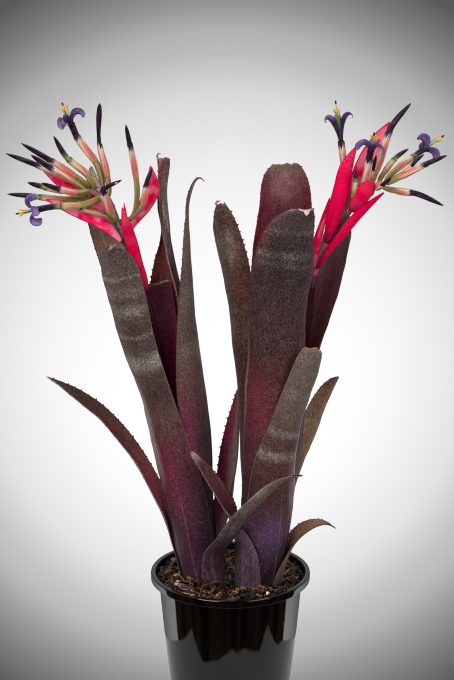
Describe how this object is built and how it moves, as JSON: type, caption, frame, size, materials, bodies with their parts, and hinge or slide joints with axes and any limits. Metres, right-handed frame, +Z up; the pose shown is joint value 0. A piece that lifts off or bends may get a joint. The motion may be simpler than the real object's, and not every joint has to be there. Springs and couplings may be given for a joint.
{
  "type": "potted billbergia",
  "caption": "Potted billbergia: leaning tubular rosettes of spiny strap leaves with scapes of bracts and tubular flowers, in a round nursery pot that stands on its base.",
  "frame": {"origin": "centre of the pot's flat underside", "axes": "+Z up out of the pot; +X towards the right-hand rosette; -Y towards the side that the picture shows"},
  "size_m": [0.3654, 0.14, 0.5394],
  "materials": {
    "pot": "glossy black moulded plastic",
    "mix": "rough dark bark and coir fibre mix",
    "stem_base": "rough dry stem tissue",
    "leaf": "leathery maroon brown under grey scurf with paler cross-bands",
    "scape": "satin pinkish brown stalk with grey scurf",
    "bract": "thin satin crimson bract",
    "flower": "soft cream, pink and green tube with violet black tip and violet petals"
  },
  "bodies": {
    "root": {"pot": "pot", "potting_mix": "mix", "left_stem_base": "stem_base", "right_stem_base": "stem_base", "left_scape": "scape", "right_scape": "scape", "left_leaf_outer_front": "leaf", "left_leaf_outer_left": "leaf", "left_leaf_outer_right": "leaf", "left_leaf_front": "leaf", "left_leaf_back": "leaf", "left_leaf_right": "leaf", "left_leaf_back_left": "leaf", "left_leaf_back_right": "leaf", "right_leaf_outer_left": "leaf", "right_leaf_outer_right": "leaf", "right_leaf_outer_front": "leaf", "right_leaf_outer_back": "leaf", "right_leaf_front": "leaf", "right_leaf_left": "leaf", "right_leaf_right": "leaf", "right_leaf_back": "leaf", "left_bract_front": "bract", "left_bract_lower": "bract", "left_bract_upper": "bract", "left_bract_right": "bract", "right_bract_front": "bract", "right_bract_back": "bract", "right_bract_short": "bract", "right_bract_long": "bract", "right_bract_left": "bract", "right_bract_inner": "bract", "left_flower_1": "flower", "left_flower_2": "flower", "left_flower_3": "flower", "left_flower_4": "flower", "left_flower_5": "flower", "left_flower_6": "flower", "left_flower_7": "flower", "left_flower_8": "flower", "left_flower_9": "flower", "left_flower_10": "flower", "left_flower_11": "flower", "left_flower_12": "flower", "left_flower_13": "flower", "left_flower_14": "flower", "right_flower_1": "flower", "right_flower_2": "flower", "right_flower_3": "flower", "right_flower_4": "flower", "right_flower_5": "flower", "right_flower_6": "flower", "right_flower_7": "flower", "right_flower_8": "flower", "right_flower_9": "flower", "right_flower_10": "flower", "right_flower_11": "flower"}
  },
  "joints": []
}
